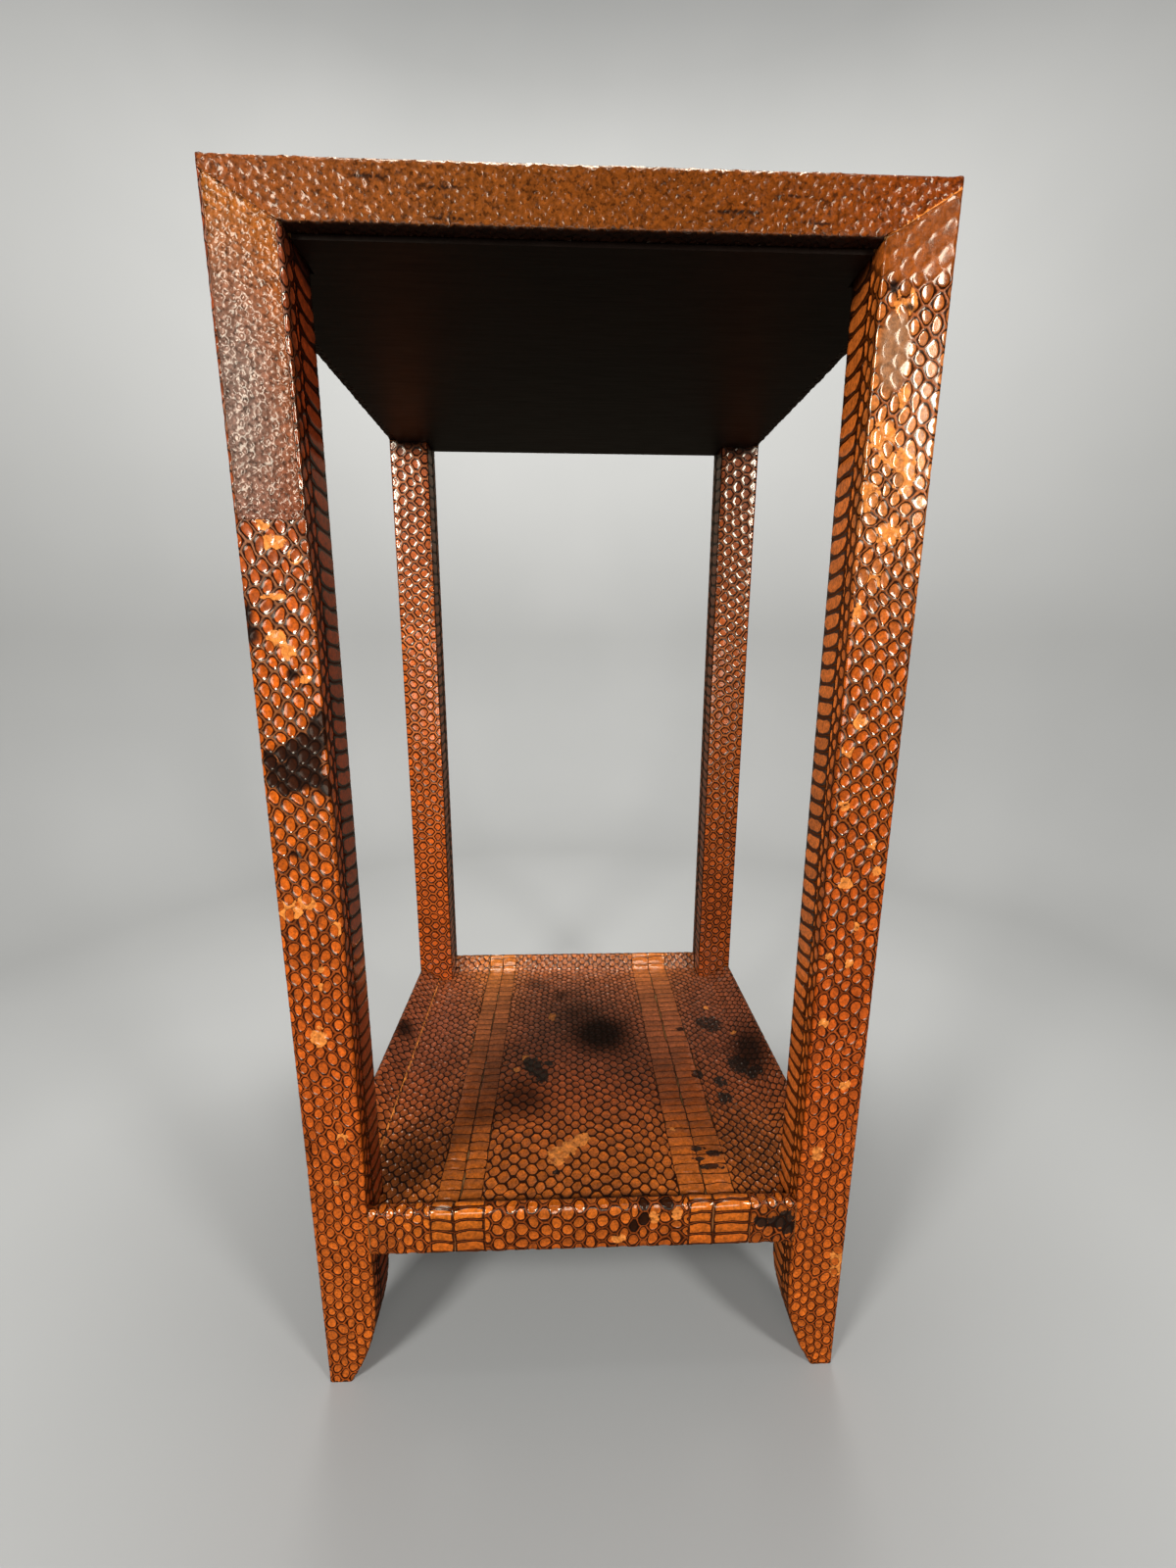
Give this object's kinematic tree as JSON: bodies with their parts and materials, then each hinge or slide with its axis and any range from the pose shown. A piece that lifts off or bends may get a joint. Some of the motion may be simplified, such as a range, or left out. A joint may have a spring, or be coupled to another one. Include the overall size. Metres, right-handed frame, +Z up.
{
  "type": "two-tier side table",
  "caption": "Square side table with flush legs, a top slab and one low tray shelf, wrapped in lacquered snakeskin over a doweled wood frame.",
  "frame": {"origin": "on the floor under the centre of the table", "axes": "+X to the right seen from the front, +Y to the back, +Z up"},
  "size_m": [0.305, 0.302, 0.618],
  "materials": {
    "frame_wood": "satin",
    "painted_board": "satin",
    "snakeskin": "gloss",
    "snakeskin_fine": "gloss"
  },
  "bodies": {
    "root": {"leg_front_left": "frame_wood", "leg_front_right": "frame_wood", "leg_back_left": "frame_wood", "leg_back_right": "frame_wood", "top_rail_front": "frame_wood", "top_rail_back": "frame_wood", "top_rail_left": "frame_wood", "top_rail_right": "frame_wood", "top_board": "frame_wood", "top_underside_board": "painted_board", "top_rail_dowels": "frame_wood", "shelf_rail_front": "frame_wood", "shelf_rail_back": "frame_wood", "shelf_rail_left": "frame_wood", "shelf_rail_right": "frame_wood", "shelf_board": "frame_wood", "shelf_underside_board": "painted_board", "shelf_rail_dowels": "frame_wood", "leg_skin_front_left": "snakeskin", "leg_patch_front_left": "snakeskin_fine", "leg_skin_front_right": "snakeskin", "leg_skin_back_left": "snakeskin", "leg_skin_back_right": "snakeskin", "apron_skin_front": "snakeskin_fine", "apron_skin_back": "snakeskin_fine", "apron_skin_left": "snakeskin_fine", "apron_skin_right": "snakeskin_fine", "top_skin": "snakeskin_fine", "shelf_skin": "snakeskin", "shelf_skin_left": "snakeskin", "shelf_skin_right": "snakeskin", "rim_skin_front": "snakeskin", "rim_skin_front_left": "snakeskin", "rim_skin_front_right": "snakeskin", "rim_skin_back": "snakeskin", "rim_skin_back_left": "snakeskin", "rim_skin_back_right": "snakeskin", "rim_skin_left": "snakeskin", "rim_skin_right": "snakeskin"}
  },
  "joints": []
}
